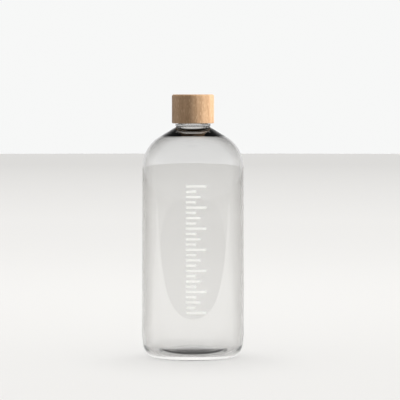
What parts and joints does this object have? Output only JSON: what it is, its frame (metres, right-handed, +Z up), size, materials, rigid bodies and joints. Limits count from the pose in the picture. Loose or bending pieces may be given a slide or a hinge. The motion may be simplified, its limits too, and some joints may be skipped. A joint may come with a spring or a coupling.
{
  "type": "glass water bottle",
  "caption": "Tall round clear glass water bottle with a domed shoulder, narrow screw neck, turned beech screw cap with a sealed plastic liner, and printed level marks.",
  "frame": {"origin": "middle of the ring the bottle stands on, on the standing plane", "axes": "+Z up along the bottle's axis towards the cap, -Y towards the front with the level marks, +X to the right seen from the front"},
  "size_m": [0.0886, 0.0887, 0.228],
  "materials": {
    "bottle_glass": "clear fire-polished soda-lime glass with a faint smoky grey tint",
    "beech": "turned beech, sanded and lightly oiled",
    "liner_plastic": "natural off-white polypropylene, moulded",
    "silicone": "translucent white food-grade silicone, satin",
    "white_ink": "white fired enamel print, slightly raised"
  },
  "bodies": {
    "bottle": {"glass_bottle": "bottle_glass", "print_long_marks": "white_ink", "print_short_marks": "white_ink"},
    "gasket": {"sealing_gasket": "silicone"},
    "cap": {"wood_cap": "beech", "thread_insert": "liner_plastic"}
  },
  "joints": [
    {"name": "cap_turn", "type": "hinge", "parent": "gasket", "child": "cap", "pos_m": [0, 0, 0.2155], "axis": [0, 0, 1], "range_deg": [0, 3240]},
    {"name": "cap_rise", "type": "slide", "parent": "bottle", "child": "gasket", "axis": [0, 0, 1], "range_m": [0, 0.0382]}
  ],
  "couplings": [
    {"joint": "cap_rise", "follows": "cap_turn", "m_per_rad": 0.00067376}
  ]
}
